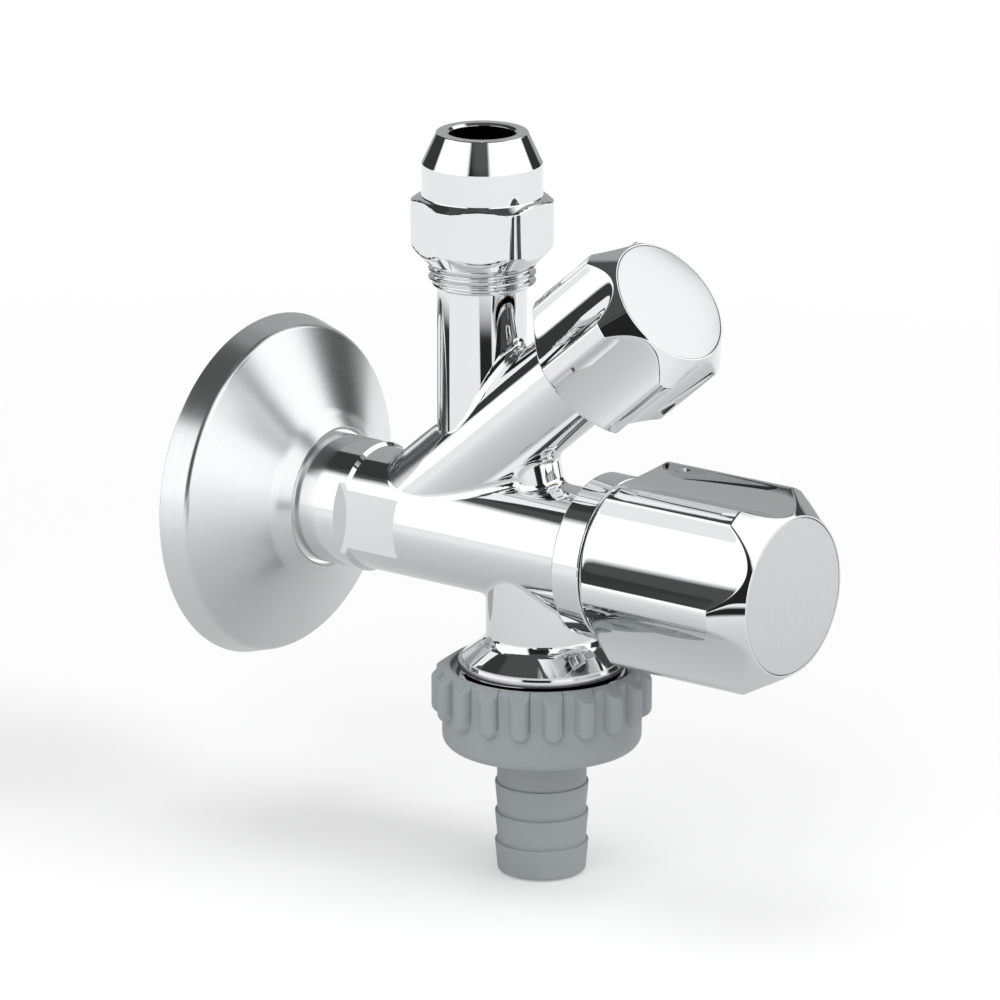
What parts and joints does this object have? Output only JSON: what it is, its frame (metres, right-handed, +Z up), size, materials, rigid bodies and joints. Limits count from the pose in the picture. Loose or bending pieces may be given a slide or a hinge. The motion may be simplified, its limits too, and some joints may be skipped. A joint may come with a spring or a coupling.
{
  "type": "combination angle valve",
  "caption": "Chrome wall angle valve with a front lobed handle, a slanted branch with a smaller handle, an upper compression outlet and a lower union with a barbed hose tail.",
  "frame": {"origin": "on the inlet axis in the plane of the wall", "axes": "-Y out of the wall along the barrel towards the front handle, +Z up along the upper outlet, +X to the right for someone facing the wall"},
  "size_m": [0.0546, 0.1135, 0.1163],
  "materials": {
    "body_chrome": "polished chrome plate over brass",
    "rosette_chrome": "chrome-plated pressed sheet, softly brushed",
    "nut_chrome": "polished chrome plate over brass",
    "collar_chrome": "polished chrome plate over brass",
    "front_handle_chrome": "polished chrome plate",
    "upper_handle_chrome": "polished chrome plate",
    "front_cap_satin": "satin chrome plate, bare face",
    "upper_cap_chrome": "polished chrome plate, bare face",
    "inlet_seal_white": "smooth white plastic",
    "union_grey": "satin mid-grey plastic",
    "tail_grey": "satin mid-grey plastic",
    "ring_brass": "turned brass",
    "check_housing_plastic": "off-white plastic",
    "check_poppet_plastic": "blue plastic",
    "spring_steel": "drawn stainless wire",
    "headwork_brass": "turned brass",
    "seal_rubber": "black rubber",
    "small_steel": "bright steel"
  },
  "bodies": {
    "valve": {"valve_body": "body_chrome", "inlet_seal_ring": "inlet_seal_white", "front_collar": "collar_chrome", "front_bonnet": "headwork_brass", "front_bonnet_seal": "seal_rubber", "upper_bonnet": "headwork_brass", "upper_bonnet_seal": "seal_rubber", "check_valve_housing": "check_housing_plastic", "check_valve_seal": "seal_rubber", "check_valve_spring": "spring_steel"},
    "rosette": {"wall_rosette": "rosette_chrome"},
    "front_knob": {"front_handle": "front_handle_chrome", "front_handle_cap": "front_cap_satin", "front_handle_screw": "small_steel", "front_spindle": "headwork_brass", "front_spindle_seal": "seal_rubber", "front_spindle_clip": "small_steel"},
    "front_valve_piston": {"front_piston": "headwork_brass", "front_seat_washer": "seal_rubber"},
    "upper_knob": {"upper_handle": "upper_handle_chrome", "upper_handle_cap": "upper_cap_chrome", "upper_handle_screw": "small_steel", "upper_spindle": "headwork_brass", "upper_spindle_seal": "seal_rubber", "upper_spindle_clip": "small_steel"},
    "upper_valve_piston": {"upper_piston": "headwork_brass", "upper_seat_washer": "seal_rubber"},
    "poppet": {"check_valve_poppet": "check_poppet_plastic"},
    "tail": {"hose_tail": "tail_grey", "hose_washer": "seal_rubber"},
    "union": {"union_nut": "union_grey"},
    "ring": {"compression_ring": "ring_brass"},
    "pipe_nut": {"compression_nut": "nut_chrome"}
  },
  "joints": [
    {"name": "rosette_slide", "type": "slide", "parent": "valve", "child": "rosette", "axis": [0, -1, 0], "range_m": [0, 0.011]},
    {"name": "front_handle_turn", "type": "hinge", "parent": "valve", "child": "front_knob", "pos_m": [0, 0, 0], "axis": [0, -1, 0], "range_deg": [0, 1080]},
    {"name": "front_piston_slide", "type": "slide", "parent": "valve", "child": "front_valve_piston", "axis": [0, -1, 0], "range_m": [0, 0.0042]},
    {"name": "upper_handle_turn", "type": "hinge", "parent": "valve", "child": "upper_knob", "pos_m": [0, -0.0286, 0], "axis": [0, -0.76, 0.65], "range_deg": [0, 1080]},
    {"name": "upper_piston_slide", "type": "slide", "parent": "valve", "child": "upper_valve_piston", "axis": [0, -0.76, 0.65], "range_m": [0, 0.00344]},
    {"name": "check_poppet_slide", "type": "slide", "parent": "valve", "child": "poppet", "axis": [0, 0, -1], "range_m": [0, 0.0016], "stiffness_N_per_m": 100, "springref_m": -0.002, "deforming": ["check_valve_spring"]},
    {"name": "hose_tail_slide", "type": "slide", "parent": "valve", "child": "tail", "axis": [0, 0, -1], "range_m": [0, 0.00436]},
    {"name": "union_nut_turn", "type": "hinge", "parent": "tail", "child": "union", "pos_m": [0, -0.0541, 0], "axis": [0, 0, -1], "range_deg": [0, 864]},
    {"name": "compression_ring_slide", "type": "slide", "parent": "valve", "child": "ring", "axis": [0, 0, 1], "range_m": [0, 0.0067]},
    {"name": "compression_nut_turn", "type": "hinge", "parent": "ring", "child": "pipe_nut", "pos_m": [0, -0.0424, 0], "axis": [0, 0, 1], "range_deg": [0, 1800]}
  ],
  "couplings": [
    {"joint": "front_piston_slide", "follows": "front_handle_turn", "m_per_rad": 0.00022282},
    {"joint": "upper_piston_slide", "follows": "upper_handle_turn", "m_per_rad": 0.00018271},
    {"joint": "hose_tail_slide", "follows": "union_nut_turn", "m_per_rad": 0.00028871},
    {"joint": "compression_ring_slide", "follows": "compression_nut_turn", "m_per_rad": 0.00021279}
  ]
}
